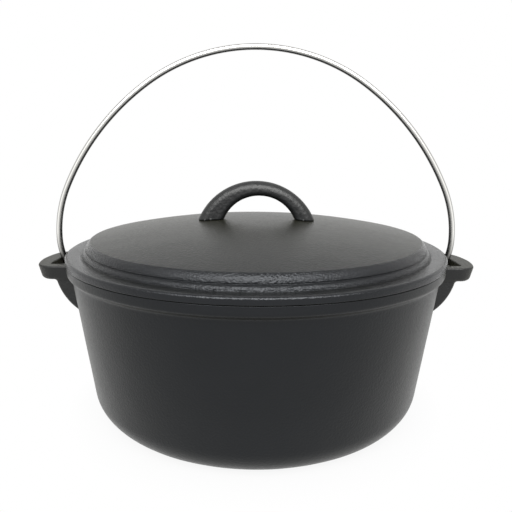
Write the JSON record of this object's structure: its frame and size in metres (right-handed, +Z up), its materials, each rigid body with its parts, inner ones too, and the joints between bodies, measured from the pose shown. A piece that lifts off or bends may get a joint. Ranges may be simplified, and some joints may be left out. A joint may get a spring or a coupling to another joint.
{
  "type": "camp dutch oven",
  "caption": "Flat-bottomed cast-iron camp oven: tapered pot with pierced side ears, domed lift-off lid with an arched handle, and a swinging steel wire bail.",
  "frame": {"origin": "centre of the pot's flat base, on the surface it stands on", "axes": "+Z up along the pot's axis, +X towards one ear, +Y away from the pictured front"},
  "size_m": [0.3126, 0.266, 0.256],
  "materials": {
    "seasoned_iron": "matte seasoned black with a fine cast grain",
    "wire_steel": "bare drawn wire",
    "screw_steel": "dark oiled steel"
  },
  "bodies": {
    "pot": {"pot": "seasoned_iron"},
    "lid": {"lid": "seasoned_iron", "lid_handle": "seasoned_iron", "handle_screws": "screw_steel"},
    "bail": {"bail": "wire_steel"}
  },
  "joints": [
    {"name": "lid_lift", "type": "slide", "parent": "pot", "child": "lid", "axis": [0, 0, 1], "range_m": [0, 0.03]},
    {"name": "bail_swing", "type": "hinge", "parent": "pot", "child": "bail", "pos_m": [0, 0, 0.09295], "axis": [1, 0, 0], "range_deg": [-48, 48]}
  ]
}
